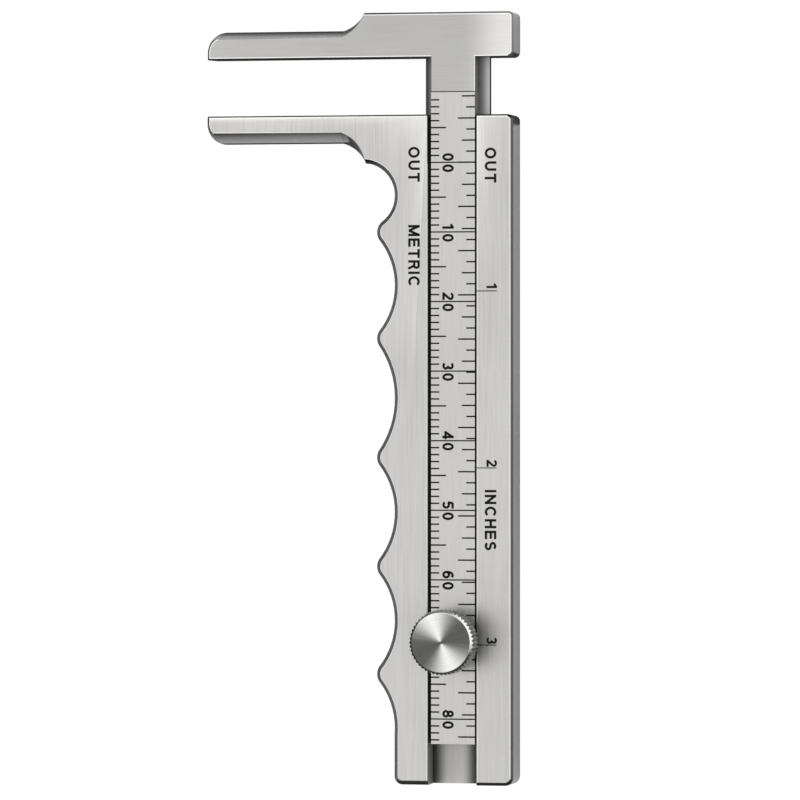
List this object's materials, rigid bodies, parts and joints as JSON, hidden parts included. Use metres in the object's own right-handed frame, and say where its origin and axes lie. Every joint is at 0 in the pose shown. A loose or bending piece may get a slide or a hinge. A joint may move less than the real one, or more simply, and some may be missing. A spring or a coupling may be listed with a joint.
{
  "type": "slide caliper",
  "caption": "Slide caliper with two long flat bevelled jaws, a scalloped finger grip, a graduated slide in a T-slot and a knurled clamp knob.",
  "frame": {"origin": "centre of the whole part's outline at rest, on the plane that it lies on (the back)", "axes": "+X to the right seen from the front, jaws point to -X; +Y along the slide towards the head, which is the opening direction; +Z out of the graduated front"},
  "size_m": [0.0456, 0.1112, 0.0146],
  "materials": {
    "rail_steel": "fine vertical brushing",
    "floor_steel": "fine vertical brushing",
    "jaw_steel": "fine horizontal brushing",
    "scale_steel": "satin, engraved and filled black",
    "runner_steel": "ground",
    "screw_steel": "turned",
    "pin_steel": "ground",
    "spring_steel": "rolled",
    "brass": "machined",
    "knob_steel": "turned face, straight knurl",
    "black_fill": "matt paint in the engraved lines, numerals and words"
  },
  "bodies": {
    "frame": {"grip_rail": "rail_steel", "guide_rail": "rail_steel", "back_plate": "floor_steel", "grip_rail_screws": "screw_steel", "guide_rail_screws": "screw_steel", "grip_rail_dowels": "pin_steel", "guide_rail_dowels": "pin_steel", "stop_pin": "pin_steel"},
    "slide": {"moving_jaw": "jaw_steel", "scale_bar": "scale_steel", "slide_runner": "runner_steel", "bar_screws": "screw_steel", "head_pins": "pin_steel", "drag_spring": "spring_steel", "spring_rivet": "brass"},
    "shoe": {"clamp_shoe": "brass"},
    "knob": {"clamp_screw": "screw_steel", "clamp_knob": "knob_steel", "knob_pin": "pin_steel"}
  },
  "joints": [
    {"name": "jaw_slide", "type": "slide", "parent": "frame", "child": "slide", "axis": [0, 1, 0], "range_m": [-0.00828, 0.0717]},
    {"name": "shoe_lift", "type": "slide", "parent": "slide", "child": "shoe", "axis": [0, 0, 1], "range_m": [0, 0.00075]},
    {"name": "knob_turn", "type": "hinge", "parent": "shoe", "child": "knob", "pos_m": [0.01405, -0.03476, 0.006], "axis": [0, 0, 1], "range_deg": [0, 540]}
  ],
  "couplings": [
    {"joint": "knob_turn", "follows": "shoe_lift", "rad_per_m": 12566}
  ]
}
